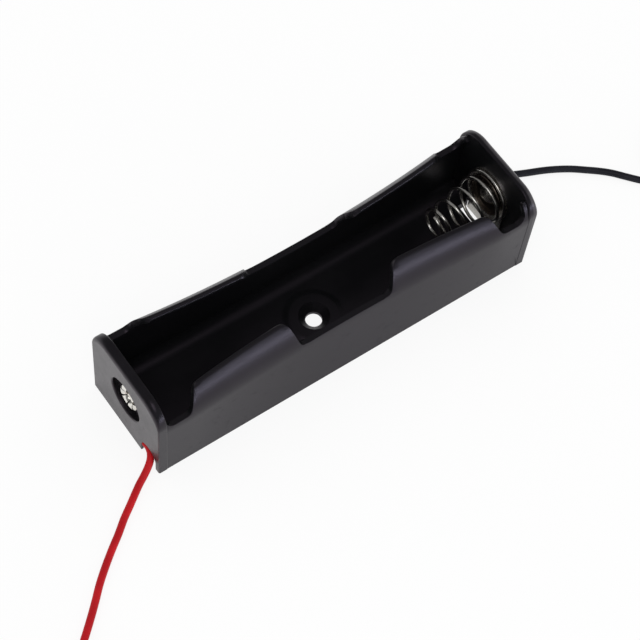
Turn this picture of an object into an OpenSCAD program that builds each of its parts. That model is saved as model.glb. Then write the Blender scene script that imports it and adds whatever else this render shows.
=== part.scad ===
// Open holder for one cylindrical cell, with a lead from each end. Sizes in mm.
// X runs along the cell from the positive end to the spring, Z is up, z = 0 is the underside.

/* [Housing] */
// Length over the two end walls
housing_l = 76.8; // [70:0.1:90]
// Width over the two side walls
housing_w = 20.4; // [19:0.1:24]
// Height of the end walls
end_h = 19; // [16:0.5:22]
// Thickness of an end wall
end_t = 1.8; // [1.6:0.1:3]
// Rounding of an end wall's top corners, seen from the end
end_corner_r = 4.6; // [2:0.1:6]
// Rounding of an end wall's outer edge along its top
end_edge_r = 1.2; // [0.4:0.1:1.6]
// How far the spring's end wall leans out, in degrees
end_lean = 3; // [0:0.5:4]
// Thickness of the floor
floor_t = 1.6; // [1.2:0.1:2.5]
// Thickness of a side wall
side_t = 1.1; // [0.9:0.05:1.6]
// How far the side walls are set in from the end walls' sides
parting = 0.06; // [0.04:0.01:0.2]
// Fillet between the floor and a side wall
floor_fillet = 2.5; // [1:0.25:3]

/* [Side walls] */
// Height at which the wall starts to curl over the cell, at mid-length
curl_z = 10.9; // [9:0.1:13]
// The same height beside an end wall
curl_end_z = 12.9; // [11:0.1:14]
// Height of the middle of a lip
lip_z = 17.5; // [15:0.1:18.5]
// Distance from the middle of a lip's end to the holder's middle line
lip_y = 7.55; // [6:0.05:9]
// How far the wall leans in at mid-length, at the height of the finger cut-out
wall_lean = 1.45; // [0:0.05:2]
// Length over which the wall leans in
lean_l = 64; // [50:1:80]
// Height of the wall in the finger cut-out
cut_z = 12.7; // [10:0.1:15]
// Length of the finger cut-out at its bottom
cut_l = 18.3; // [10:0.1:24]
// Length of the finger cut-out at the lips
cut_top_l = 21.7; // [14:0.2:30]
// Height of the wall in the notch beside an end wall
notch_z = 14.3; // [11:0.1:16]
// Where the notch ends at the lips, from mid-length
notch_top_x = 29.3; // [26:0.1:31]
// Where the notch ends at its bottom, from mid-length
notch_low_x = 32.5; // [30:0.1:34]
// Rounding of the corners of the cut-out and notches
cut_r = 1.5; // [0.5:0.1:2]

/* [Floor] */
// Mounting hole diameter
hole_d = 3; // [2.5:0.1:4]
// Countersink diameter at the top of the boss
sink_d = 5.6; // [5:0.1:8]
// Boss diameter
boss_d = 10; // [8:0.5:14]
// Height of the boss above the floor
boss_h = 0.4; // [0.2:0.1:1]
// Length of the slot at each end, across the holder
slot_l = 9.7; // [6:0.1:12]
// Width of the slot, along the holder
slot_w = 2.7; // [1.5:0.1:3]
// How far the slot's pocket goes into the end wall
slot_in = 1.35; // [1:0.05:1.4]
// Height of the slot's pocket in the end wall
slot_h = 3.4; // [2:0.1:5]

/* [Contacts] */
// Height of the contacts' axis
axis_z = 10.2; // [8:0.1:12]
// Thickness of a contact plate
plate_t = 0.3; // [0.2:0.05:0.6]
// Radius of a contact plate's round top
plate_r = 5; // [4:0.25:7]
// Width of a contact plate's tab
tab_w = 9; // [4:0.5:9.4]
// How far the foot of the tab steps out into the wall
tab_step = 0.5; // [0.3:0.1:0.6]
// Diameter of a rivet's tube
rivet_d = 3; // [2:0.1:4]
// Wall of a rivet's tube
rivet_wall = 0.3; // [0.2:0.05:0.5]
// Clearance between a rivet and its hole
rivet_gap = 0.05; // [0.02:0.01:0.2]
// Diameter of a rivet's domed head
head_d = 3.8; // [3:0.1:5]
// Height of a rivet's domed head
head_h = 0.9; // [0.4:0.1:1.5]
// Radius of the curl of a rivet's split end
petal_r = 0.55; // [0.4:0.05:0.8]
// Share of the split end that its petals fill
petal_share = 0.8; // [0.6:0.05:0.9]
// Radius of the spring seat's rim
seat_r = 4.05; // [3:0.05:6]
// Height of the spring seat's rim
seat_h = 0.8; // [0.4:0.1:1.5]
// Diameter of the recess round a rivet's split end
recess_d = 8.3; // [6:0.1:12]
// Depth of that recess
recess_h = 1.1; // [0.6:0.1:1.4]
// Petals that a rivet's end is split into
petals = 6; // [4:1:8]

/* [Spring] */
// Wire diameter
wire_d = 0.6; // [0.4:0.05:1]
// Mean radius of the small end
spring_tip_r = 2.1; // [1.5:0.1:4]
// Mean radius of the large end
spring_base_r = 4.6; // [3:0.1:7]
// Free length between the wire's centres at the two ends
spring_l = 11.9; // [8:0.1:16]
// Turns between the two ends
spring_turns = 5.3; // [3:0.1:8]

/* [Leads] */
// Diameter over a lead's insulation
lead_d = 1.3; // [1:0.1:2]
// Diameter of a lead's tinned end
tip_d = 0.8; // [0.5:0.05:1.2]
// Length of a lead's tinned end
tip_l = 5; // [3:0.5:10]
// Width of the notch that a lead leaves by
lead_notch_w = 4.4; // [3:0.1:6]
// Height of that notch
lead_notch_h = 4.2; // [3:0.1:6]
// Distance from that notch to the holder's middle line
lead_notch_y = 6.9; // [4:0.1:8]

/* [Hidden] */
$fn = 48;
over = 1;
wire_sides = 8;
wire_steps = 16;

half_l = housing_l / 2;
half_w = housing_w / 2;
inner_x = half_l - end_t;
wall_end_x = inner_x + 0.6 * end_t;
stations = 24;
curl_steps = 6;
lip_steps = 4;
fillet_steps = 4;

// Route of the red lead, from its solder joint to its coil
red_route = [[-37.75, -4.9, 2.15], [-37.8, -5.75, 2.45], [-37.95, -6.58, 2.68],
  [-38.24, -7.36, 2.74], [-38.7, -8.05, 2.57], [-39.33, -8.63, 2.2], [-40.15, -9.15, 1.7],
  [-41.2, -9.72, 1.18], [-42.5, -10.42, 0.8], [-43.95, -11.42, 0.65], [-45.7, -12.7, 0.65],
  [-47.8, -14.2, 0.65], [-50, -16, 0.65], [-52.4, -17.8, 0.65],
  [-54.9, -19.8, 0.65], [-57.3, -21.9, 0.65], [-59.5, -24.1, 0.65], [-61.8, -26.3, 0.65],
  [-64.1, -28.4, 0.65], [-66.6, -30.6, 0.65], [-69.3, -32.9, 0.65], [-72, -35.6, 0.65]];
// Route of the black lead
black_route = [[37.9, 4.9, 2], [38.15, 5.7, 2.15], [38.6, 6.4, 2.25], [39.3, 7, 2.05],
  [40.3, 7.35, 1.55], [41.6, 7.3, 1], [43.3, 6.95, 0.7], [45.5, 6.3, 0.65], [48.1, 5.2, 0.65],
  [50.6, 4.1, 0.65], [53, 3.1, 0.65], [55.4, 1.9, 0.65], [57.7, 0.5, 0.65], [59.8, -1.1, 0.65],
  [61.8, -2.7, 0.65], [63.5, -4.3, 0.65], [65, -6.1, 0.65], [66.7, -8.1, 0.65],
  [68.6, -10.2, 0.65], [70.7, -12.5, 0.65], [73.2, -14.8, 0.65]];
red_coil = [-66.45, -40.9];
black_coil = [78.25, -8.85];
// Where a tinned end leaves its coil, as an angle round the coil
red_tip_angle = 250;
black_tip_angle = 330;
coil_r = 7;
coil_turns_across = 2;
coil_h = 1.9 * lead_d;

// ---- housing ----

// A closed solid between the first and last of a row of rings, each with the same number of points
module skin(rings) {
  n = len(rings[0]);
  last_i = len(rings) - 1;
  sides = [for (i = [0 : last_i - 1]) for (j = [0 : n - 1])
    let (a = i * n + j, b = i * n + (j + 1) % n)
    each [[a, b + n, b], [a, a + n, b + n]]];
  first = [for (j = [0 : n - 1]) j];
  last = [for (j = [n - 1 : -1 : 0]) last_i * n + j];
  polyhedron([for (ring = rings) each ring], concat([first], sides, [last]), convexity = 10);
}

// How far the side wall leans in at x, at the height cut_z
function lean(x) = wall_lean * max(0, 1 - pow(2 * abs(x) / lean_l, 2));
function leaned(x, y, z) = [x, y - lean(x) * z / cut_z, z];
lip_r = side_t / 2;
side_y = half_w - parting;
inner_y = side_y - side_t;

// One cross-section of a side wall: up the outside, over the lip, down the inside
function wall_section(x) =
  let (from_z = curl_z + (curl_end_z - curl_z) * pow(abs(x) / inner_x, 4),
    angle = 2 * atan((side_y - lip_r - lip_y) / (lip_z - from_z)),
    r = (lip_z - from_z) / sin(angle),
    middle = side_y - lip_r - r)
  [[x, side_y, 0],
    for (i = [0 : curl_steps])
      let (a = angle * i / curl_steps)
      leaned(x, middle + (r + lip_r) * cos(a), from_z + (r + lip_r) * sin(a)),
    for (i = [1 : lip_steps - 1])
      let (a = angle + 180 * i / lip_steps)
      leaned(x, lip_y + lip_r * cos(a), lip_z + lip_r * sin(a)),
    for (i = [curl_steps : -1 : 0])
      let (a = angle * i / curl_steps)
      leaned(x, middle + (r - lip_r) * cos(a), from_z + (r - lip_r) * sin(a)),
    for (i = [0 : fillet_steps])
      let (a = 90 * i / fillet_steps)
      leaned(x, inner_y - floor_fillet * (1 - cos(a)), floor_t + floor_fillet * (1 - sin(a))),
    [x, inner_y - floor_fillet, 0]];

module side_wall() {
  skin([for (i = [0 : stations]) wall_section(wall_end_x * (2 * i / stations - 1))]);
}

// What is cut away above the finger cut-out and the notches, seen from the side
module wall_cuts() {
  top_z = lip_z + lip_r + 0.02;
  offset(r = cut_r, $fn = 24)
    offset(delta = -cut_r)
      offset(r = -cut_r, $fn = 24)
        offset(delta = cut_r) {
          translate([-half_l, top_z])
            square([housing_l, 4 * cut_r]);
          polygon([[-cut_l / 2, cut_z], [cut_l / 2, cut_z],
            [cut_top_l / 2, top_z + over], [-cut_top_l / 2, top_z + over]]);
          for (side = [0, 1])
            mirror([side, 0])
              polygon([[notch_low_x, notch_z], [half_l, notch_z],
                [half_l, top_z + over], [notch_top_x, top_z + over]]);
        }
}

module side_walls() {
  for (side = [0, 1])
    mirror([0, side, 0])
      difference() {
        side_wall();
        translate([0, half_w + over, 0])
          rotate([90, 0, 0])
            linear_extrude(height = half_w + over)
              wall_cuts();
      }
}

// Places what is drawn flat at an end: X across, Y up, Z outward from the wall's inner face.
// turn is 0 for the spring's end, whose wall leans out, and 180 for the other.
module at_end(turn) {
  rotate([0, 0, turn])
    translate([inner_x, 0, 0])
      rotate([90, 0, 90])
        rotate([turn == 0 ? end_lean : 0, 0, 0])
          children();
}

// An end wall seen from the end
module end_outline() {
  corner_z = end_h - end_corner_r;
  core_w = half_w - end_corner_r;
  translate([-half_w, 0])
    square([housing_w, corner_z]);
  translate([-core_w, 0])
    square([2 * core_w, end_h]);
  for (side = [-1, 1])
    translate([side * core_w, corner_z])
      circle(end_corner_r);
}

// An end wall seen from the side, lying down: up is along X, outward along Y.
// foot is how high it starts, so that a leaning wall stays above the underside.
module end_profile(foot) {
  translate([foot, 0])
    square([end_h - foot, end_t - end_edge_r]);
  translate([foot, 0])
    square([end_h - end_edge_r - foot, end_t]);
  translate([end_h - end_edge_r, end_t - end_edge_r])
    circle(end_edge_r);
}

module end_wall(foot) {
  intersection() {
    linear_extrude(height = end_t)
      end_outline();
    translate([-half_w - over, 0, 0])
      rotate([90, 0, 90])
        linear_extrude(height = housing_w + 2 * over)
          end_profile(foot);
  }
}

module arch(w, h) {
  translate([-w / 2, -over])
    square([w, over + h - w / 2]);
  translate([0, h - w / 2])
    circle(w / 2);
}

// The slot for the tab, the rivet's hole and recess, and the notch that the lead leaves by
module end_cuts() {
  translate([-slot_l / 2, -over, slot_in - slot_w])
    cube([slot_l, over + slot_h, slot_w]);
  translate([0, axis_z, -over])
    cylinder(h = end_t + 2 * over, r = rivet_d / 2 + rivet_gap);
  translate([0, axis_z, end_t - recess_h])
    cylinder(h = recess_h + over, d = recess_d);
  translate([lead_notch_y, 0, tab_step])
    linear_extrude(height = end_t + over)
      arch(lead_notch_w, lead_notch_h);
}

module housing() {
  sink_h = (sink_d - hole_d) / 2;
  boss_top = floor_t + boss_h;
  floor_w = housing_w - 2 * side_t - 2 * floor_fillet + 0.1;
  color([0.06, 0.06, 0.065])
    difference() {
      union() {
        side_walls();
        translate([-wall_end_x, -floor_w / 2, 0])
          cube([2 * wall_end_x, floor_w, floor_t]);
        cylinder(h = boss_top, d = boss_d);
        for (turn = [0, 180])
          at_end(turn)
            end_wall(turn == 0 ? end_t * tan(end_lean) : 0);
      }
      translate([0, 0, -over])
        cylinder(h = boss_top + 2 * over, d = hole_d);
      translate([0, 0, boss_top - sink_h])
        cylinder(h = sink_h, d1 = hole_d, d2 = sink_d);
      for (turn = [0, 180])
        at_end(turn)
          end_cuts();
    }
}

// ---- contacts ----

// A round plate whose tab steps out into the slot's pocket
module contact_plate() {
  tab_low = 0.4;
  step_z = slot_h - 0.1;
  foot_z = step_z - 0.8 * tab_step;
  color([0.72, 0.7, 0.66])
    difference() {
      union() {
        translate([0, axis_z, -plate_t])
          cylinder(h = plate_t, r = plate_r);
        translate([-tab_w / 2, 0, 0])
          rotate([90, 0, 90])
            linear_extrude(height = tab_w)
              polygon([[axis_z, -plate_t], [axis_z, 0], [step_z, 0], [foot_z, tab_step],
                [tab_low, tab_step], [tab_low, tab_step - plate_t],
                [foot_z - plate_t / 2, tab_step - plate_t], [step_z - plate_t / 2, -plate_t]]);
      }
      translate([0, axis_z, -plate_t - over])
        cylinder(h = plate_t + 2 * over, r = rivet_d / 2 + rivet_gap);
    }
}

// A rivet with a domed head inside and a split end curled over in the recess.
// stack is the thickness of what its head holds against the wall.
module rivet(stack) {
  head_r = head_d / 2;
  dome_r = (head_r * head_r + head_h * head_h) / (2 * head_h);
  tube_r = rivet_d / 2;
  curl_x = tube_r - rivet_wall / 2 + petal_r;
  top = end_t - recess_h;
  color([0.8, 0.79, 0.76])
    translate([0, axis_z, 0]) {
      translate([0, 0, -stack])
        intersection() {
          translate([0, 0, dome_r - head_h])
            sphere(dome_r);
          translate([0, 0, -head_h])
            cylinder(h = head_h, r = head_r);
        }
      difference() {
        translate([0, 0, -stack])
          cylinder(h = stack + top, r = tube_r);
        translate([0, 0, rivet_wall - stack])
          cylinder(h = stack + top, r = tube_r - rivet_wall);
      }
      for (i = [0 : petals - 1])
        rotate(360 * i / petals)
          translate([0, 0, top])
            rotate_extrude(angle = 360 * petal_share / petals)
              petal_profile(curl_x);
    }
}

// Half a ring, standing on the rivet's tube
module petal_profile(x) {
  intersection() {
    translate([x, 0])
      difference() {
        circle(petal_r + rivet_wall / 2);
        circle(petal_r - rivet_wall / 2);
      }
    square([2 * x, 2 * x]);
  }
}

module negative_plate() {
  at_end(0)
    contact_plate();
}

module positive_plate() {
  at_end(180)
    contact_plate();
}

module spring_seat() {
  hole_r = rivet_d / 2 + rivet_gap;
  low_r = seat_r - seat_h;
  color([0.45, 0.36, 0.3])
    at_end(0)
      translate([0, axis_z, -plate_t])
        mirror([0, 0, 1])
          rotate_extrude()
            polygon([[hole_r, 0], [low_r, 0], [seat_r, seat_h], [seat_r - plate_t, seat_h],
              [low_r - plate_t / 2, plate_t], [hole_r, plate_t]]);
}

module negative_rivet() {
  at_end(0)
    rivet(2 * plate_t);
}

module positive_rivet() {
  at_end(180)
    rivet(plate_t);
}

// ---- spring ----

function eased(s) = s * s * (3 - 2 * s);
spring_x = inner_x + (axis_z - spring_base_r) * tan(end_lean) - plate_t - wire_d / 2;
// Centre of the wire after u turns from the small end, on a cone wound about the contact's axis
function spring_angle(u) = 90 + 360 * u;
function spring_radius(u) = spring_tip_r + (spring_base_r - spring_tip_r) * eased(u / spring_turns);
function spring_point(u) = [
  spring_x - spring_l * (1 - eased(u / spring_turns)),
  spring_radius(u) * cos(spring_angle(u)),
  axis_z + spring_radius(u) * sin(spring_angle(u))];

function unit(v) = v / norm(v);

// A tube of round sections: a section for each point, side vector and tangent
module tube(points, sides, tangents, r) {
  skin([for (i = [0 : len(points) - 1])
    [for (k = [0 : wire_sides - 1])
      let (a = 360 * k / wire_sides)
      points[i] + r * (cos(a) * sides[i] + sin(a) * cross(tangents[i], sides[i]))]]);
}

module contact_spring() {
  count = round(spring_turns * wire_steps);
  du = 0.001;
  us = [for (i = [0 : count]) (spring_turns - du) * i / count];
  color([0.8, 0.79, 0.76])
    tube([for (u = us) spring_point(u)],
      [for (u = us) [0, cos(spring_angle(u)), sin(spring_angle(u))]],
      [for (u = us) unit(spring_point(u + du) - spring_point(u))],
      wire_d / 2);
}

// ---- leads ----

function route_tangent(p, i) = unit(p[min(i + 1, len(p) - 1)] - p[max(i - 1, 0)]);
function level_side(t) = unit([-t[1], t[0], 0]);

module lead(route) {
  tangents = [for (i = [0 : len(route) - 1]) route_tangent(route, i)];
  tube(route, [for (t = tangents) level_side(t)], tangents, lead_d / 2);
}

module lead_coil(centre) {
  w = coil_turns_across * lead_d;
  translate(centre)
    rotate_extrude()
      translate([coil_r - w / 2, 0])
        square([w, coil_h]);
}

// A tinned end, lying along the outside of its coil
module lead_tip(centre, angle) {
  translate(centre)
    rotate(angle)
      translate([coil_r + coil_turns_across * lead_d / 2 + tip_d / 2, 0, tip_d / 2])
        rotate([90, 0, 0])
          cylinder(h = tip_l, d = tip_d, center = true);
}

// Solder along the back of a tab, at the end of the lead
module solder() {
  joint_r = 0.4;
  joint_l = 2.3;
  color([0.75, 0.75, 0.77])
    translate([tab_w / 2 + 0.6 - joint_l, 2, tab_step + joint_r])
      rotate([0, 90, 0])
        cylinder(h = joint_l, r = joint_r);
}

module negative_solder() {
  at_end(0)
    solder();
}

module positive_solder() {
  at_end(180)
    solder();
}

module red_lead() {
  color([0.65, 0.08, 0.09])
    lead(red_route);
}

module red_lead_coil() {
  color([0.65, 0.08, 0.09])
    lead_coil(red_coil);
}

module red_lead_tip() {
  color([0.75, 0.75, 0.77])
    lead_tip(red_coil, red_tip_angle);
}

module black_lead() {
  color([0.08, 0.08, 0.09])
    lead(black_route);
}

module black_lead_coil() {
  color([0.08, 0.08, 0.09])
    lead_coil(black_coil);
}

module black_lead_tip() {
  color([0.75, 0.75, 0.77])
    lead_tip(black_coil, black_tip_angle);
}

housing();
contact_spring();
spring_seat();
negative_plate();
positive_plate();
negative_rivet();
positive_rivet();
negative_solder();
positive_solder();
red_lead();
red_lead_coil();
red_lead_tip();
black_lead();
black_lead_coil();
black_lead_tip();
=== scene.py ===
from math import acos, asin, atan, cos, pi, radians, sin, sqrt, tan

import bmesh
import bpy
from mathutils import Matrix, Vector, noise


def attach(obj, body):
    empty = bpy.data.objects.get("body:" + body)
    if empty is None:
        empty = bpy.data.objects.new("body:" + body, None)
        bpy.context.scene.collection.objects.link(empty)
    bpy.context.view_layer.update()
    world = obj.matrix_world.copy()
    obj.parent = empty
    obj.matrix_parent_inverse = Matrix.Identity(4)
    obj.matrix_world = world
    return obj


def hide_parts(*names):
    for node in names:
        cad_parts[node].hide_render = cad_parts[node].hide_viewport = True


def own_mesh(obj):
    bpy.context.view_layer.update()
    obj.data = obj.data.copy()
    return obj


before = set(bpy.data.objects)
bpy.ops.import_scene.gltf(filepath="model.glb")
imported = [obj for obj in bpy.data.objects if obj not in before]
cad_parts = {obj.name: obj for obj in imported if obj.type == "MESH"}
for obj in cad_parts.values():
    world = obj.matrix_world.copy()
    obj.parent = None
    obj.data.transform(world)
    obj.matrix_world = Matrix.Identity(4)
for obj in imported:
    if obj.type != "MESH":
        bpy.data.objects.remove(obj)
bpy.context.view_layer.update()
mm = 0.001
print("frame loaded:", len(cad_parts), "nodes")


# Camera and cords come first

shot = {
    "azimuth": -40.132, "elevation": 59.569, "roll": 6.168,
    "distance": 0.36939, "target": (-0.001928, -0.004004, 0.008),
    "lens": 122.12, "sensor": 36,
}


def addCamera():
    turn, rise, roll = (radians(shot[key]) for key in ("azimuth", "elevation", "roll"))
    back = Vector((sin(turn) * cos(rise), -cos(turn) * cos(rise), sin(rise)))
    level = Vector((cos(turn), sin(turn), 0))
    upright = back.cross(level)
    right = cos(roll) * level + sin(roll) * upright
    up = cos(roll) * upright - sin(roll) * level
    data = bpy.data.cameras.new("camera")
    data.lens, data.sensor_width, data.clip_start = shot["lens"], shot["sensor"], 0.01
    camera = bpy.data.objects.new("camera", data)
    bpy.context.scene.collection.objects.link(camera)
    turned = Matrix((right, up, back)).transposed().to_4x4()
    camera.matrix_world = Matrix.Translation(Vector(shot["target"]) + shot["distance"] * back) @ turned
    bpy.context.scene.camera = camera


addCamera()


def newObject(name, data):
    made = bpy.data.objects.new(name, data)
    bpy.context.scene.collection.objects.link(made)
    return made


def settle(piece):
    # applies a piece's modifiers, or turns a curve into its mesh
    shown = piece.evaluated_get(bpy.context.evaluated_depsgraph_get())
    mesh = bpy.data.meshes.new_from_object(shown)
    if piece.type == "MESH":
        piece.modifiers.clear()
        piece.data = mesh
        return piece
    name = piece.name
    bpy.data.objects.remove(piece)
    return newObject(name, mesh)


def refine(points, steps=4):
    # a smooth line through every point
    spots = [Vector(p) for p in points]
    spots = [2 * spots[0] - spots[1]] + spots + [2 * spots[-1] - spots[-2]]
    line = []
    for a, b, c, d in zip(spots, spots[1:], spots[2:], spots[3:]):
        for i in range(steps):
            t = i / steps
            line.append(0.5 * (2 * b + (c - a) * t + (2 * a - 5 * b + 4 * c - d) * t ** 2
                               + (3 * b - a - 3 * c + d) * t ** 3))
    return line + [spots[-2]]


def tube(name, line, radius, sides=4):
    # a closed round mesh along a line, all in millimetres until it is made
    data = bpy.data.curves.new(name, "CURVE")
    data.dimensions = "3D"
    data.bevel_depth = radius * mm
    data.bevel_resolution = sides
    data.use_fill_caps = True
    spline = data.splines.new("POLY")
    spline.points.add(len(line) - 1)
    for knot, place in zip(spline.points, line):
        knot.co = (*(Vector(place) * mm), 1)
    made = settle(newObject(name, data))
    bm = bmesh.new()
    bm.from_mesh(made.data)
    bmesh.ops.remove_doubles(bm, verts=bm.verts, dist=1e-7)
    bmesh.ops.recalc_face_normals(bm, faces=bm.faces)
    bm.to_mesh(made.data)
    bm.free()
    made.data.shade_smooth()
    made.data.set_sharp_from_angle(angle=radians(50))
    return made


leads = {
    "diameter": 1.3, "length": 150, "coilRadius": 7, "stepDegrees": 15,
    "climbDegrees": 50, "dropDegrees": 60, "tipLength": 5, "tipDiameter": 0.8,
    "strands": 6, "twist": 0.9, "spread": 0.25, "stripped": 0.6, "uneven": 0.02,
}
redLead = {
    "route": [
        (-37.75, -4.9, 2.15), (-37.8, -5.75, 2.45), (-37.95, -6.58, 2.68), (-38.24, -7.36, 2.74),
        (-38.7, -8.05, 2.57), (-39.33, -8.63, 2.2), (-40.15, -9.15, 1.7), (-41.2, -9.72, 1.18),
        (-42.5, -10.42, 0.8), (-43.95, -11.42, 0.65), (-45.7, -12.7, 0.65),
        (-47.8, -14.2, 0.65), (-50, -16, 0.65), (-52.4, -17.8, 0.65),
        (-54.9, -19.8, 0.65), (-57.3, -21.9, 0.65), (-59.5, -24.1, 0.65), (-61.8, -26.3, 0.65),
        (-64.1, -28.4, 0.65), (-66.6, -30.6, 0.65), (-69.3, -32.9, 0.65)],
    "exit": (-38.4, -7.6, 2.7), "coil": (-66.45, -40.9), "entry": 136.2, "tip": 250,
}
blackLead = {
    "route": [
        (37.9, 4.9, 2), (38.15, 5.7, 2.15), (38.6, 6.4, 2.25), (39.3, 7, 2.05),
        (40.3, 7.35, 1.55), (41.6, 7.3, 1), (43.3, 6.95, 0.7), (45.5, 6.3, 0.65),
        (48.1, 5.2, 0.65), (50.6, 4.1, 0.65), (53, 3.1, 0.65), (55.4, 1.9, 0.65),
        (57.7, 0.5, 0.65), (59.8, -1.1, 0.65), (61.8, -2.7, 0.65), (63.5, -4.3, 0.65),
        (65, -6.1, 0.65), (66.7, -8.1, 0.65), (68.6, -10.2, 0.65), (70.7, -12.5, 0.65)],
    "exit": (38.4, 6.2, 2.2), "coil": (78.25, -8.85), "entry": 229, "tip": 330,
}


def smooth(share):
    share = min(1, max(0, share))
    return share * share * (3 - 2 * share)


def coilTurns(lead):
    # one turn on the ground, one on top of it, then down to the ground outside
    thick = leads["diameter"]
    inside, outer = leads["coilRadius"], leads["coilRadius"] + thick / 2
    tipTurn = leads["tipLength"] / 2 / (outer + thick)
    last = lead["tip"] + 720 - lead["entry"] - tipTurn * 180 / pi
    count = round(last / leads["stepDegrees"])
    points = []
    for i in range(count + 1):
        gone = last * i / count
        lap, within = divmod(gone, 360)
        under = outer - thick * within / 360
        if lap == 0:
            lean = None
        elif lap == 1:
            onTop = acos((inside - under) / thick)
            lean = pi + (onTop - pi) * smooth(within / leads["climbDegrees"])
        else:
            onTop = acos((inside - under) / thick)
            lean = onTop * (1 - smooth(within / leads["dropDegrees"]))
        r = under if lean is None else under + thick * cos(lean)
        z = thick / 2 + (0 if lean is None else thick * sin(lean))
        angle = radians(lead["entry"] + gone)
        points.append((lead["coil"][0] + r * cos(angle), lead["coil"][1] + r * sin(angle), z))
    return points


def addLead(name, lead):
    line = refine(lead["route"] + coilTurns(lead))
    made = tube(name, line, leads["diameter"] / 2, sides=6)
    return made, line


def addTip(name, line):
    # bare strands twisted round one in the middle
    start, ahead = line[-1], (line[-1] - line[-2]).normalized()
    around, stripped = leads["strands"], leads["stripped"]
    strand = leads["tipDiameter"] / 6
    side = Vector((0, 0, 1)).cross(ahead).normalized()
    rise = ahead.cross(side)
    down = Vector((0, 0, leads["tipDiameter"] / 2 - leads["diameter"] / 2))
    parts = []
    for i in range(around + 1):
        points = []
        for k in range(13):
            share = k / 12
            turned = 2 * pi * (i / around + leads["twist"] * share)
            out = 0 if i == around else 2 * strand * (1 + leads["spread"] * share * sin(5 * i))
            along = -stripped + (leads["tipLength"] + stripped) * share * (1 - leads["uneven"] * (i % 3))
            points.append(start + ahead * along + down * smooth(3 * share)
                          + out * (cos(turned) * side + sin(turned) * rise))
        parts.append(tube(f"{name}_{i}", points, strand, sides=2))
    bm = bmesh.new()
    for part in parts:
        bm.from_mesh(part.data)
        bpy.data.objects.remove(part)
    mesh = bpy.data.meshes.new(name)
    bm.to_mesh(mesh)
    bm.free()
    mesh.shade_smooth()
    return newObject(name, mesh)


redCord, redLine = addLead("red_lead_wire", redLead)
blackCord, blackLine = addLead("black_lead_wire", blackLead)
redTip = addTip("red_lead_strands", redLine)
blackTip = addTip("black_lead_strands", blackLine)
for cord, tip, lead, line, colour in ((redCord, redTip, redLead, redLine, "red"),
                                      (blackCord, blackTip, blackLead, blackLine, "black")):
    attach(cord, "holder")
    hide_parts(f"{colour}_lead", f"{colour}_lead_coil")
    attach(tip, "holder")
    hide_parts(f"{colour}_lead_tip")
    [c * mm for c in lead["exit"]]
    [point * mm for point in line]
print("leads laid")


def lathe(profile, steps=72, close=False):
    # profile is (radius, height) pairs, turned about Z
    bm = bmesh.new()
    verts = [bm.verts.new((r, 0, z)) for r, z in profile]
    edges = [bm.edges.new(pair) for pair in zip(verts, verts[1:])]
    if close:
        edges.append(bm.edges.new((verts[-1], verts[0])))
    bmesh.ops.spin(bm, geom=verts + edges, cent=(0, 0, 0), axis=(0, 0, 1), dvec=(0, 0, 0),
                   angle=2 * pi, steps=steps, use_merge=True, use_duplicate=False)
    bmesh.ops.remove_doubles(bm, verts=bm.verts, dist=1e-4)
    bmesh.ops.recalc_face_normals(bm, faces=bm.faces)
    return bm


def prism(outline, depth):
    # outline in XY, walls up to Z = depth
    bm = bmesh.new()
    face = bm.faces.new([bm.verts.new((x, y, 0)) for x, y in outline])
    grown = bmesh.ops.extrude_face_region(bm, geom=[face], use_keep_orig=True)
    moved = [g for g in grown["geom"] if isinstance(g, bmesh.types.BMVert)]
    bmesh.ops.translate(bm, verts=moved, vec=(0, 0, depth))
    bmesh.ops.recalc_face_normals(bm, faces=bm.faces)
    return bm


def roundEdges(bm, wanted, size, segments):
    edges = [e for e in bm.edges if wanted(e.verts[0].co, e.verts[1].co)]
    bmesh.ops.bevel(bm, geom=edges, offset=size, offset_type="OFFSET", affect="EDGES",
                    segments=segments, profile=0.5, material=-1, clamp_overlap=True)


def roundedOutline(corners, steps=8):
    # corners are (x, y, radius); a flat face is bevelled at its corners and read back in order
    bm = bmesh.new()
    verts = [bm.verts.new((x, y, 0)) for x, y, r in corners]
    bm.faces.new(verts)
    spots = [Vector((x, y, 0)) for x, y, r in corners]
    radii = [r for x, y, r in corners]
    for i, vert in enumerate(verts):
        if radii[i] <= 0:
            continue
        before = (spots[i - 1] - spots[i]).normalized()
        after = (spots[(i + 1) % len(spots)] - spots[i]).normalized()
        reach = radii[i] / tan(before.angle(after) / 2)
        bmesh.ops.bevel(bm, geom=[vert], offset=reach, offset_type="OFFSET", affect="VERTICES",
                        segments=steps, profile=0.5, material=-1)
    bm.faces.ensure_lookup_table()
    line = [(loop.vert.co.x, loop.vert.co.y) for loop in bm.faces[0].loops]
    bm.free()
    return line


def cutAcross(bm, axis, places):
    normal = Vector((0, 0, 0))
    normal[axis] = 1
    for place in places:
        bmesh.ops.bisect_plane(bm, geom=bm.verts[:] + bm.edges[:] + bm.faces[:], dist=1e-5,
                               plane_co=normal * place, plane_no=normal)


def toObject(name, bm):
    mesh = bpy.data.meshes.new(name)
    bm.to_mesh(mesh)
    bm.free()
    return newObject(name, mesh)


def carve(base, tool, operation):
    step = base.modifiers.new(operation, "BOOLEAN")
    step.operation, step.solver, step.object = operation, "EXACT", tool
    settle(base)
    bpy.data.objects.remove(tool)


def finish(piece, body, material, nodes=(), sharpAngle=32, toMetres=True):
    if toMetres:
        piece.data.transform(Matrix.Scale(mm, 4))
    piece.data.shade_smooth()
    piece.data.set_sharp_from_angle(angle=radians(sharpAngle))
    piece.data.materials.clear()
    piece.data.materials.append(material)
    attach(piece, body)
    if nodes:
        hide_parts(*nodes)
    return piece


# Materials

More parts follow.
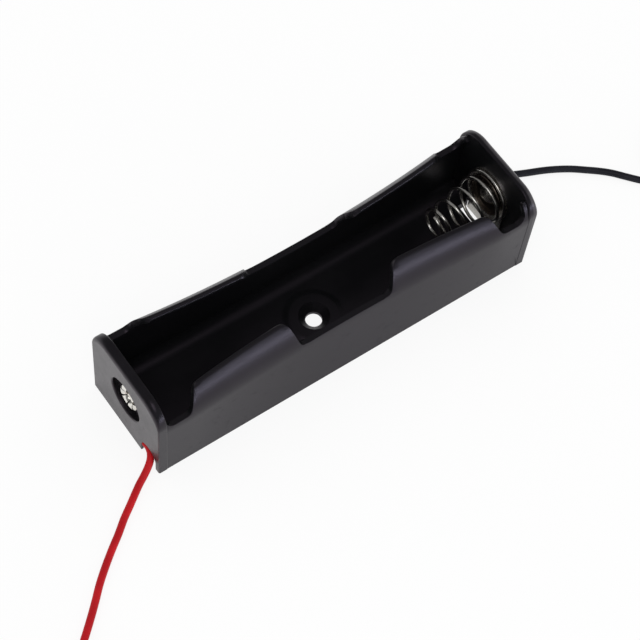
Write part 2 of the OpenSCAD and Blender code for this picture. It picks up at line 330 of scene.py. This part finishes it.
class Value:
    def __init__(self, paint, socket):
        self.paint, self.socket = paint, socket

    def sum(self, operation, first, second):
        return self.paint.node("ShaderNodeMath", {"operation": operation}, {0: first, 1: second})

    def __add__(self, other):
        return self.sum("ADD", self, other)

    def __rsub__(self, other):
        return self.sum("SUBTRACT", other, self)

    def __mul__(self, other):
        return self.sum("MULTIPLY", self, other)

    __radd__, __rmul__ = __add__, __mul__


class Paint:
    def __init__(self, name, sky=None):
        self.tree = sky
        if not sky:
            self.material = bpy.data.materials.new(name)
            self.material.use_nodes = True
            self.tree = self.material.node_tree
        self.tree.nodes.clear()
        self.output = self.tree.nodes.new("ShaderNodeOutputWorld" if sky else "ShaderNodeOutputMaterial")

    def node(self, kind, settings=None, inputs=None, output=0):
        made = self.tree.nodes.new(kind)
        for key, value in (settings or {}).items():
            if key == "stops":
                for spot, colour in value[2:]:
                    made.color_ramp.elements.new(spot)
                for element, (spot, colour) in zip(made.color_ramp.elements, value):
                    element.position, element.color = spot, colour
            else:
                setattr(made, key, value)
        for key, value in (inputs or {}).items():
            if isinstance(value, Value):
                self.tree.links.new(value.socket, made.inputs[key])
            else:
                made.inputs[key].default_value = value
        return Value(self, made.outputs[output])

    def place(self, scale=(1, 1, 1), turn=(0, 0, 0)):
        spot = self.node("ShaderNodeTexCoord", output="Object")
        return self.node("ShaderNodeMapping", {}, {"Vector": spot, "Scale": scale, "Rotation": turn})

    def noise(self, where, scale, detail=3, roughness=0.5):
        return self.node("ShaderNodeTexNoise", {}, {
            "Vector": where, "Scale": scale, "Detail": detail, "Roughness": roughness})

    def between(self, value, low, high):
        return self.node("ShaderNodeMapRange", {"interpolation_type": "SMOOTHSTEP"}, {
            "Value": value, "From Min": low, "From Max": high})

    def blend(self, factor, first, second):
        return self.node("ShaderNodeMix", {"data_type": "RGBA"}, {
            "Factor": factor, 6: first, 7: second}, output=2)

    def bump(self, height, strength, depth):
        return self.node("ShaderNodeBump", {}, {
            "Height": height, "Strength": strength, "Distance": depth})

    def finish(self, inputs):
        shader = self.node("ShaderNodeBsdfPrincipled", {}, inputs)
        self.tree.links.new(shader.socket, self.output.inputs["Surface"])
        return self.material


plastic = {
    "dark": (0.0042, 0.0047, 0.005, 1), "light": (0.008, 0.0082, 0.009, 1),
    # the end faces' lighter colour is partly a dusty scuff and partly a painted sheen for the stronger
    # light falling on the ends
    "endDustAndSheen": (0.058, 0.054, 0.057, 1), "endDustAndSheenFrom": 38.1, "endDustAndSheenTo": 38.38,
    "roughness": 0.24, "specular": 0.31, "tint": (0.96, 0.78, 1, 1), "index": 1.5,
    "grain": 5200, "flow": 95, "rub": 520, "cloud": 260,
    "flowRough": 0.14, "rubRough": 0.1, "bump": 0.12, "bumpDepth": 0.00012,
}


def mouldedPlastic():
    p = Paint("moulded_black_plastic")
    where = p.place()
    flow = p.noise(p.place(scale=(0.35, 1, 1)), plastic["flow"], 4, 0.6)
    grain = p.noise(where, plastic["grain"], 2, 0.6)
    slanted = p.place(scale=(1, 6, 1), turn=(0.2, 0.1, 0.5))
    rub = p.between(p.noise(slanted, plastic["rub"], 5, 0.65), 0.56, 0.72)
    along = p.node("ShaderNodeSeparateXYZ", {}, {0: where}, output="X")
    reach = p.node("ShaderNodeMath", {"operation": "ABSOLUTE"}, {0: along})
    # end faces painted lighter in patches: a dusty scuff, and also a painted sheen standing in for light
    # falling on the end faces
    endDustAndSheenMask = p.between(reach, plastic["endDustAndSheenFrom"] * mm, plastic["endDustAndSheenTo"] * mm)
    cloud = p.between(p.noise(where, plastic["cloud"], 4, 0.6), 0.25, 0.75)
    colour = p.blend(p.between(flow, 0.3, 0.75), plastic["dark"], plastic["light"])
    colour = p.blend(endDustAndSheenMask * (0.35 + 0.65 * cloud), colour, plastic["endDustAndSheen"])
    rough = plastic["roughness"] + plastic["flowRough"] * flow + plastic["rubRough"] * rub
    height = 0.7 * grain + 0.3 * flow
    return p.finish({
        "Base Color": colour, "Roughness": rough,
        "Normal": p.bump(height, plastic["bump"], plastic["bumpDepth"]),
        "Specular IOR Level": plastic["specular"], "Specular Tint": plastic["tint"],
        "IOR": plastic["index"]})


sleeve = {"cloud": 210, "grain": 3600, "grainRough": 0.12, "bump": 0.1, "bumpDepth": 0.0001,
          "specular": 0.14}


def insulation(name, low, high, rough):
    p = Paint(name)
    where = p.place()
    cloud = p.noise(where, sleeve["cloud"])
    fine = p.noise(where, sleeve["grain"])
    colour = p.blend(p.between(cloud, 0.3, 0.7), low, high)
    return p.finish({
        "Base Color": colour, "Roughness": rough + sleeve["grainRough"] * fine,
        "Normal": p.bump(fine, sleeve["bump"], sleeve["bumpDepth"]),
        "Specular IOR Level": sleeve["specular"]})


plating = {"lineRough": 0.16, "bump": 0.08, "bumpDepth": 0.00008}


def platedMetal(name, colour, stain, rough, scale, stretch=(1, 1, 1)):
    p = Paint(name)
    lines = p.noise(p.place(scale=stretch), scale, 5, 0.6)
    patches = p.noise(p.place(), scale / 4, 3, 0.55)
    base = p.blend(p.between(patches, 0.45, 0.85), colour, stain)
    return p.finish({
        "Base Color": base, "Metallic": 1.0, "Roughness": rough + plating["lineRough"] * lines,
        "Normal": p.bump(lines, plating["bump"], plating["bumpDepth"])})


blackPlastic = mouldedPlastic()
redInsulation = insulation("red_insulation", (0.4, 0.005, 0.009, 1), (0.5, 0.008, 0.013, 1), 0.42)
blackInsulation = insulation("black_insulation", (0.009, 0.009, 0.013, 1),
                             (0.016, 0.016, 0.022, 1), 0.34)
springNickel = platedMetal("spring_nickel", (0.79, 0.77, 0.73, 1), (0.6, 0.57, 0.52, 1), 0.13, 1500)
# the seat's dark colour is painted shade for the shaded cup behind the spring, over a brownish metal
# tone
seatMetalPaintedShade = platedMetal("seat_metal", (0.2, 0.165, 0.14, 1), (0.12, 0.095, 0.075, 1), 0.16, 1100)
rivetNickel = platedMetal("rivet_nickel", (0.82, 0.8, 0.75, 1), (0.66, 0.6, 0.5, 1), 0.14, 1400)
sheetNickel = platedMetal("sheet_nickel", (0.7, 0.68, 0.64, 1), (0.52, 0.48, 0.42, 1), 0.2, 700,
                          (1, 9, 1))
solderMetal = platedMetal("solder", (0.66, 0.66, 0.67, 1), (0.4, 0.4, 0.42, 1), 0.24, 1300)
strandMetal = platedMetal("tinned_strands", (0.74, 0.72, 0.69, 1), (0.6, 0.42, 0.3, 1), 0.25, 1800)
for cord, material in ((redCord, redInsulation), (blackCord, blackInsulation),
                       (redTip, strandMetal), (blackTip, strandMetal)):
    cord.data.materials.append(material)
print("materials mixed")


# Housing

housing = {
    "length": 76.8, "width": 20.4, "endHeight": 19, "endThickness": 1.8, "endCorner": 4.6,
    "topEdge": 1.2, "sideEdge": 0.3, "innerEdge": 0.25, "leanDegrees": 3,
    "floor": 1.6, "wall": 1.1, "fillet": 2.5, "parting": 0.06,
    "curlHeight": 11.8, "curlEnd": 12.9, "lipHeight": 17.5, "lipPlace": 7.55,
    "bow": 1.45, "bowLength": 64,
    "cutHeight": 12.7, "cutLength": 18.3, "cutTop": 21.7, "cutTopRound": 2.2,
    "notchHeight": 13.9, "notchLow": 31.9, "notchTop": 29.8, "notchTopRound": 2,
    "lowRound": 1.4, "rim": 0.13,
    "rootPast": 0.15, "rootHeight": 17.2, "rootRound": 1.9, "rootTopRound": 0.4,
    "hole": 3, "sink": 5.6, "sinkRim": 0.15, "boss": 10, "bossHeight": 0.4, "bossRamp": 0.7,
    "slotLength": 9.7, "slotWidth": 3.15, "slotDepth": 1.35, "slotHeight": 3.4, "slotRound": 0.4,
    "recess": 8.3, "recessDepth": 1.1, "recessRim": 0.28, "rivetHole": 3.1, "axis": 10.2,
    "archWidth": 4.4, "archHeight": 4.2, "archPlace": 6.9, "tabStep": 0.5, "tab": 9,
    "rowStep": 1.5, "rows": 24, "curlRowsFrom": 10.9, "curlRowStep": 0.4, "curlRows": 17,
}
h = housing
halfLength, halfWidth = h["length"] / 2, h["width"] / 2
innerEnd = halfLength - h["endThickness"]
wallEnd = innerEnd + 0.6 * h["endThickness"]
sideFace = halfWidth - h["parting"]
lipRadius = h["wall"] / 2
rows = [h["rowStep"] * i for i in range(-h["rows"], h["rows"] + 1)]


def bowAt(x):
    # how far in the wall stands at the low cut's height
    return h["bow"] * max(0, 1 - (2 * abs(x) / h["bowLength"]) ** 2)


def curlAt(x):
    # where the wall starts to curl, how far round it goes, and its middle line's radius
    start = h["curlHeight"] + (h["curlEnd"] - h["curlHeight"]) * (abs(x) / innerEnd) ** 4
    rise = h["lipHeight"] - start
    angle = 2 * atan((sideFace - lipRadius - h["lipPlace"]) / rise)
    return start, angle, rise / sin(angle)


def bendWall(flat):
    # flat is (along, height of the wall's middle line, in from the outside)
    x, up, inward = flat
    start, angle, radius = curlAt(x)
    past = max(0, up - h["lipHeight"])
    turn = 0 if up <= start else asin(min(up, h["lipHeight"]) / radius - start / radius) + past / radius
    thin = sqrt(max(0, 1 - (past / lipRadius) ** 2))
    out = (lipRadius - inward) * thin
    z = min(up, start) + (radius + out) * sin(turn)
    y = sideFace - lipRadius - radius + (radius + out) * cos(turn)
    return Vector((x, y - bowAt(x) * z / h["cutHeight"], z))


def sideWall():
    top = h["lipHeight"] + lipRadius
    low = h["lowRound"]
    root = innerEnd + h["rootPast"]
    half = [(wallEnd, 0, 0), (wallEnd, h["rootHeight"], 0),
            (root, h["rootHeight"], h["rootTopRound"]), (root, h["notchHeight"], h["rootRound"]),
            (h["notchLow"], h["notchHeight"], low), (h["notchTop"], top, h["notchTopRound"]),
            (h["cutTop"] / 2, top, h["cutTopRound"]), (h["cutLength"] / 2, h["cutHeight"], low)]
    corners = half + [(-x, up, r) for x, up, r in reversed(half)]
    bm = prism(roundedOutline(corners, 10), h["wall"])

    def onRim(a, b):
        flatEdge = abs(a.z - b.z) < 1e-6
        return flatEdge and min(a.y, b.y) > 1 and max(abs(a.x), abs(b.x)) < root + 0.1

    roundEdges(bm, onRim, h["rim"], 2)
    cutAcross(bm, 0, rows)
    curlRows = [h["curlRowsFrom"] + h["curlRowStep"] * i for i in range(h["curlRows"])]
    cutAcross(bm, 1, [4, 8] + curlRows)
    cutAcross(bm, 1, [h["lipHeight"] + lipRadius * sin(radians(9 * i)) for i in range(10)])
    for vert in bm.verts:
        vert.co = bendWall(vert.co)
    bmesh.ops.triangulate(bm, faces=[f for f in bm.faces if len(f.verts) > 4])
    bmesh.ops.remove_doubles(bm, verts=bm.verts, dist=1e-4)
    bmesh.ops.recalc_face_normals(bm, faces=bm.faces)
    return bm


def floorPan():
    # floor with its two fillets, drawn as a section and drawn out along X
    inner = sideFace - h["wall"]
    buried = inner + 0.5
    top = h["floor"] + h["fillet"]
    half = [(inner - h["fillet"] * (1 - cos(a)), top - h["fillet"] * sin(a))
            for a in (radians(9 * i) for i in range(11))]
    outline = [(buried, 0.02), (buried, top)] + half
    outline += [(-y, z) for y, z in reversed(outline)]
    bm = prism(outline, 2 * wallEnd)
    bmesh.ops.rotate(bm, verts=bm.verts, matrix=Matrix(((0, 0, 1), (1, 0, 0), (0, 1, 0))))
    bmesh.ops.translate(bm, verts=bm.verts, vec=(-wallEnd, 0, 0))
    cutAcross(bm, 0, rows)
    cutAcross(bm, 1, [0])
    for vert in bm.verts:
        side = 1 if vert.co.y > 0 else -1
        if abs(vert.co.y) > inner - h["fillet"] - 0.1:
            vert.co.y -= side * bowAt(vert.co.x) * vert.co.z / h["cutHeight"]
    bmesh.ops.recalc_face_normals(bm, faces=bm.faces)
    return bm


def atEnd(bm, turn):
    # X across, Y up and Z outward are turned to stand at one end; the spring's end leans out
    stand = Matrix(((0, 0, 1), (1, 0, 0), (0, 1, 0))).to_4x4()
    lean = Matrix.Rotation(radians(0 if turn else h["leanDegrees"]), 4, "X")
    placed = Matrix.Rotation(radians(turn), 4, "Z") @ Matrix.Translation((innerEnd, 0, 0))
    where = placed @ stand @ lean
    bmesh.ops.transform(bm, matrix=where, verts=bm.verts)
    return bm


def skin(rings):
    # a closed solid through rings of points
    bm = bmesh.new()
    rows = [[bm.verts.new(p) for p in ring] for ring in rings]
    for low, high in zip(rows, rows[1:]):
        for i in range(len(low)):
            bm.faces.new((low[i - 1], low[i], high[i], high[i - 1]))
    bm.faces.new(rows[0][::-1])
    bm.faces.new(rows[-1])
    bmesh.ops.recalc_face_normals(bm, faces=bm.faces)
    return bm


def endWall(turn):
    # its outer edge is rounder along the top than down the sides
    t, corner = h["endThickness"], h["endCorner"]
    foot = 0 if turn else tan(radians(h["leanDegrees"]))
    bend = h["endHeight"] - corner
    core = halfWidth - corner
    side = [(halfWidth, bend * i / 6, 0) for i in range(6)]
    side += [(core + corner * cos(a), bend + corner * sin(a), a)
             for a in (radians(5 * i) for i in range(19))]
    outline = side + [(-x, y, pi - a) for x, y, a in reversed(side)]

    def ring(inset, out):
        points = []
        for x, y, a in outline:
            share = smooth((y - bend) / corner)
            edge = h["sideEdge"] + (h["topEdge"] - h["sideEdge"]) * share if out > 0 else h["innerEdge"]
            depth = t - edge * (1 - out) if out > 0 else edge * (1 + out)
            high = y - edge * inset * sin(a)
            points.append((x - edge * inset * cos(a), max(high, depth * foot), depth))
        return points

    inner = [ring(1 - sin(radians(a)), -cos(radians(a))) for a in (0, 30, 60, 89.9)]
    outer = [ring(1 - cos(radians(a)), sin(radians(a))) for a in (0.1, 11, 22, 34, 45, 56, 67, 79, 90)]
    return skin(inner + outer)


def recessTool():
    r, t, d = h["recess"] / 2, h["endThickness"], h["recessDepth"]
    hole, rim = h["rivetHole"] / 2, h["recessRim"]
    flare = [(r + rim * (1 - cos(a)), t - rim * (1 - sin(a)) + 0.001)
             for a in (radians(15 * i) for i in range(7))]
    bottom = [(0, -1), (hole, -1), (hole, t - d), (r, t - d)]
    bm = lathe(bottom + flare + [(r + rim, t + 1), (0, t + 1)])
    bmesh.ops.translate(bm, verts=bm.verts, vec=(0, h["axis"], 0))
    return bm


def archTool():
    r = h["archWidth"] / 2
    straight = h["archHeight"] - r
    curve = [(h["archPlace"] + r * cos(a), straight + r * sin(a))
             for a in (pi * i / 20 for i in range(21))]
    foot = [(h["archPlace"] - r, -1), (h["archPlace"] + r, -1)]
    bm = prism(foot + curve, h["endThickness"] + 1)
    bmesh.ops.translate(bm, verts=bm.verts, vec=(0, 0, h["tabStep"]))
    return bm


def slotTool():
    half, high, r = h["slotLength"] / 2, h["slotHeight"], h["slotRound"]
    corners = [(-half, -1, 0), (half, -1, 0), (half, high, r), (-half, high, r)]
    bm = prism(roundedOutline(corners, 5), h["slotWidth"])
    bmesh.ops.translate(bm, verts=bm.verts, vec=(0, 0, h["slotDepth"] - h["slotWidth"]))
    return bm


def holeTool():
    top = h["floor"] + h["bossHeight"]
    hole, sink, rim = h["hole"] / 2, h["sink"] / 2, h["sinkRim"]
    return lathe([(0, -1), (hole, -1), (hole, top - (sink - hole)), (sink, top),
                  (sink + rim, top + 0.08), (sink + rim, top + 1), (0, top + 1)], 64)


def bossPad():
    # a low pad that slopes down all round, with its foot sunk in the floor
    r, top, slope = h["boss"] / 2, h["floor"] + h["bossHeight"], h["bossRamp"]
    ramp = [(r + slope - 2 * slope * i / 8, h["floor"] + h["bossHeight"] * smooth(i / 8))
            for i in range(9)]
    foot = r + slope + 0.2
    return lathe([(0, 0.3), (foot, 0.3), (foot, h["floor"] - 0.02)] + ramp + [(0, top)], 72)


def buildHousing():
    body = toObject("housing_moulding", atEnd(endWall(0), 0))
    left = sideWall()
    right = left.copy()
    bmesh.ops.scale(right, verts=right.verts, vec=(1, -1, 1))
    bmesh.ops.reverse_faces(right, faces=right.faces)
    for shape in (atEnd(endWall(180), 180), floorPan(), left, right, bossPad()):
        carve(body, toObject("add", shape), "UNION")
    carve(body, toObject("cut", holeTool()), "DIFFERENCE")
    for turn in (0, 180):
        for tool in (recessTool, archTool, slotTool):
            carve(body, toObject("cut", atEnd(tool(), turn)), "DIFFERENCE")
    return body


def mergeClose(piece):
    bm = bmesh.new()
    bm.from_mesh(piece.data)
    bmesh.ops.remove_doubles(bm, verts=bm.verts, dist=1e-4)
    bmesh.ops.dissolve_degenerate(bm, edges=bm.edges, dist=1e-4)
    print("housing:", len(bm.faces), "faces,", sum(not e.is_manifold for e in bm.edges), "open edges")
    bm.to_mesh(piece.data)
    bm.free()


shell = buildHousing()
mergeClose(shell)
finish(shell, "holder", blackPlastic, ["housing"])
even = shell.modifiers.new("even_shading", "WEIGHTED_NORMAL")
even.keep_sharp = True
print("housing moulded")


# Contact spring

spring = {"wire": 0.6, "tip": 2.45, "base": 4.8, "length": 11.9, "turns": 5.3, "plate": 0.3,
          "perTurn": 24}
slope = tan(radians(h["leanDegrees"]))


def springFoot():
    # where the middle of the wire meets the leaning plate, at the spring's own axis
    return innerEnd + h["axis"] * slope - spring["plate"] - spring["wire"] / 2


def springPoints():
    count = round(spring["turns"] * spring["perTurn"])
    points = []
    for i in range(count + 1):
        share = i / count
        grown = smooth(share)
        r = spring["tip"] + (spring["base"] - spring["tip"]) * grown
        turned = pi / 2 + 2 * pi * spring["turns"] * share
        up = r * sin(turned)
        along = springFoot() + up * slope * grown - spring["length"] * (1 - grown)
        points.append((along, r * cos(turned), h["axis"] + up))
    return points


def buildSpring():
    coil = tube("conical_spring", springPoints(), spring["wire"] / 2, sides=4)
    finish(coil, "spring", springNickel, ["contact_spring"], 50, toMetres=False)
    start = (springFoot() - spring["length"] - spring["wire"] / 2) * mm
    # the foot's lowest point is the nearest to the cell, and stays on the leaning plate
    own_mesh(coil)


buildSpring()
print("spring wound")


# Contacts and rivets

contacts = {
    "plate": 0.3, "headRadius": 1.9, "headHeight": 0.9, "tube": 1.5, "wall": 0.3,
    "petals": 6, "petalWidth": 0.82, "petalTaper": 0.42, "rollDegrees": 205, "curl": 0.55,
    "tighten": 0.2, "seat": 4.05, "seatHeight": 0.8, "seatSheet": 0.25, "seatRise": 0.12,
    "bead": (1.2, 0.62, 0.62), "beadPlace": (0.55, 2, 0.15), "beadLumps": 0.1,
}


def rivetBody(stack):
    c = contacts
    top = h["endThickness"] - h["recessDepth"]
    dome = (c["headRadius"] ** 2 + c["headHeight"] ** 2) / (2 * c["headHeight"])
    reach = asin(c["headRadius"] / dome)
    head = [(dome * sin(reach * i / 12), -stack - c["headHeight"] + dome * (1 - cos(reach * i / 12)))
            for i in range(13)]
    inner = c["tube"] - c["wall"]
    pipe = [(c["tube"], -stack), (c["tube"], top), (inner, top),
            (inner, c["wall"] - stack), (0, c["wall"] - stack)]
    return lathe(head + pipe, 48)


def petal(index):
    # a tongue of the split tube, rolled outwards and back
    c = contacts
    top = h["endThickness"] - h["recessDepth"]
    bm = bmesh.new()
    bmesh.ops.create_grid(bm, x_segments=6, y_segments=14, size=0.5)
    for vert in bm.verts:
        across, along = vert.co.x * 2, vert.co.y + 0.5
        roll = radians(c["rollDegrees"]) * along
        radius = c["curl"] * (1.06 - c["tighten"] * along)
        out = c["tube"] - c["wall"] / 2 + radius * (1 - cos(roll))
        high = top - 0.15 + 0.15 * along + radius * sin(roll) * 1.05
        wide = c["petalWidth"] * (1 - c["petalTaper"] * along ** 2) * pi / c["petals"]
        angle = 2 * pi * index / c["petals"] + across * wide
        vert.co = Vector((out * cos(angle), out * sin(angle), high))
    bmesh.ops.recalc_face_normals(bm, faces=bm.faces)
    bmesh.ops.solidify(bm, geom=bm.faces[:], thickness=c["wall"] * 0.8)
    bmesh.ops.recalc_face_normals(bm, faces=bm.faces)
    return bm


def buildRivet(name, turn, stack, node):
    bm = rivetBody(stack)
    mesh = bpy.data.meshes.new("part")
    for i in range(contacts["petals"]):
        tongue = petal(i)
        tongue.to_mesh(mesh)
        tongue.free()
        bm.from_mesh(mesh)
    bpy.data.meshes.remove(mesh)
    bmesh.ops.translate(bm, verts=bm.verts, vec=(0, h["axis"], 0))
    rivet = toObject(name, atEnd(bm, turn))
    return finish(rivet, "holder", rivetNickel, [node], 40)


def arc(centre, radius, first, last, steps):
    # points round a centre, for a lathe profile
    turns = [radians(first + (last - first) * i / steps) for i in range(steps + 1)]
    return [(centre[0] + radius * cos(a), centre[1] + radius * sin(a)) for a in turns]


def buildSeat():
    c = contacts
    sheet, low = c["seatSheet"], c["seat"] - c["seatHeight"]
    base = -c["plate"]
    hole = h["rivetHole"] / 2
    lip = (c["seat"] - sheet / 2, base - c["seatHeight"] + sheet / 2)
    raised = base - c["seatRise"]
    profile = [(hole, base), (low, base), (low + 0.3, raised), (c["seat"], base - 0.6)]
    profile += arc(lip, sheet / 2, 0, -180, 8)
    profile += [(low + 0.02, raised - sheet), (low - 0.3, base - sheet), (hole, base - sheet)]
    bm = lathe(profile, 64, close=True)
    bmesh.ops.translate(bm, verts=bm.verts, vec=(0, h["axis"], 0))
    cup = toObject("spring_cup", atEnd(bm, 0))
    # the cup's dark colour is painted shade behind the spring
    return finish(cup, "holder", seatMetalPaintedShade, ["spring_seat"], 35)


buildRivet("positive_split_rivet", 180, contacts["plate"], "positive_rivet")
buildRivet("negative_split_rivet", 0, 2 * contacts["plate"], "negative_rivet")
buildSeat()


def buildSolder(name, turn, node):
    # a low bead on the tab, cut flat where it sits
    bm = bmesh.new()
    back, up, out = contacts["beadPlace"]
    bmesh.ops.create_icosphere(bm, subdivisions=4, radius=1)
    for vert in bm.verts:
        vert.co *= 1 + contacts["beadLumps"] * noise.noise(vert.co * 1.3 + Vector((turn, 0, 0)))
    bmesh.ops.scale(bm, verts=bm.verts, vec=contacts["bead"])
    bmesh.ops.translate(bm, verts=bm.verts, vec=(h["tab"] / 2 - back, up, h["tabStep"] + out))
    bmesh.ops.bisect_plane(bm, geom=bm.verts[:] + bm.edges[:] + bm.faces[:], dist=1e-5,
                           plane_co=(0, 0, h["tabStep"]), plane_no=(0, 0, -1), clear_outer=True)
    bmesh.ops.contextual_create(bm, geom=[e for e in bm.edges if e.is_boundary])
    return finish(toObject(name, atEnd(bm, turn)), "holder", solderMetal, [node], 50)


buildSolder("positive_solder_blob", 180, "positive_solder")
buildSolder("negative_solder_blob", 0, "negative_solder")
for node in ("positive_plate", "negative_plate"):
    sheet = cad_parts[node].data
    if not sheet.materials:
        sheet.materials.append(sheetNickel)
    for i in range(len(sheet.materials)):
        sheet.materials[i] = sheetNickel
print("contacts fitted")


# Floor, lights and world

studio = {
    "floor": 0.95, "size": 3, "below": 0.00004, "camera": 0.86, "gloss": 0.36,
    "level": 0.84, "horizon": 0, "above": 0.13, "overhead": 0.18,
    "strip": {"place": (0.37, -0.87, 0.065), "aim": (0, 0, 0.015), "size": (1, 0.1), "power": 3,
              "colour": (0.82, 0.95, 1)},
    "box": {"place": (-0.3, -0.35, 0.9), "aim": (0, 0, 0), "size": (0.5, 0.5), "power": 1.6,
            "colour": (1, 1, 1)},
}


def addFloor():
    bm = bmesh.new()
    bmesh.ops.create_grid(bm, x_segments=1, y_segments=1, size=studio["size"])
    floor = toObject("studio_floor", bm)
    floor.location.z = -studio["below"]
    p = Paint("floor_white")
    lit = p.node("ShaderNodeBsdfDiffuse", {}, {"Color": (studio["floor"],) * 3 + (1,)})
    glow = p.node("ShaderNodeEmission", {}, {"Color": (1, 1, 1, 1), "Strength": 1.0})
    path = p.node("ShaderNodeLightPath", output="Is Camera Ray")
    gloss = p.node("ShaderNodeLightPath", output="Is Glossy Ray")
    clear = p.node("ShaderNodeLightPath", output="Is Transmission Ray")
    seen = studio["camera"] * path + studio["gloss"] * (gloss + clear)
    mixed = p.node("ShaderNodeMixShader", {}, {0: seen, 1: lit, 2: glow})
    p.tree.links.new(mixed.socket, p.output.inputs["Surface"])
    floor.data.materials.append(p.material)


def addWorld():
    # white to the camera, a plain level for light, and in a gloss white low down and dim above
    world = bpy.data.worlds.new("studio")
    bpy.context.scene.world = world
    world.use_nodes = True
    p = Paint("sky", world.node_tree)
    camera = p.node("ShaderNodeLightPath", output="Is Camera Ray")
    gloss = p.node("ShaderNodeLightPath", output="Is Glossy Ray")
    clear = p.node("ShaderNodeLightPath", output="Is Transmission Ray")
    way = p.node("ShaderNodeTexCoord", output="Generated")
    rise = p.node("ShaderNodeSeparateXYZ", {}, {0: way}, output="Z")
    dim = p.between(rise, studio["horizon"], studio["above"])
    gleam = 1 - (1 - studio["overhead"]) * dim
    mirror = p.node("ShaderNodeMath", {"operation": "MAXIMUM"}, {0: gloss, 1: clear})
    strength = camera + (1 - camera) * (mirror * gleam + (1 - mirror) * studio["level"])
    back = p.node("ShaderNodeBackground", {}, {"Color": (1, 1, 1, 1), "Strength": strength})
    p.tree.links.new(back.socket, p.output.inputs["Surface"])


def addLamp(name):
    lamp = studio[name]
    data = bpy.data.lights.new(name, "AREA")
    data.shape, data.energy, data.color = "RECTANGLE", lamp["power"], lamp["colour"]
    data.size, data.size_y = lamp["size"]
    made = newObject(name, data)
    made.location = lamp["place"]
    ahead = Vector(lamp["aim"]) - Vector(lamp["place"])
    made.rotation_euler = ahead.to_track_quat("-Z", "Y").to_euler()


addFloor()
addWorld()
addLamp("strip")
addLamp("box")
bpy.context.scene.view_settings.view_transform = "Standard"
print("studio lit")
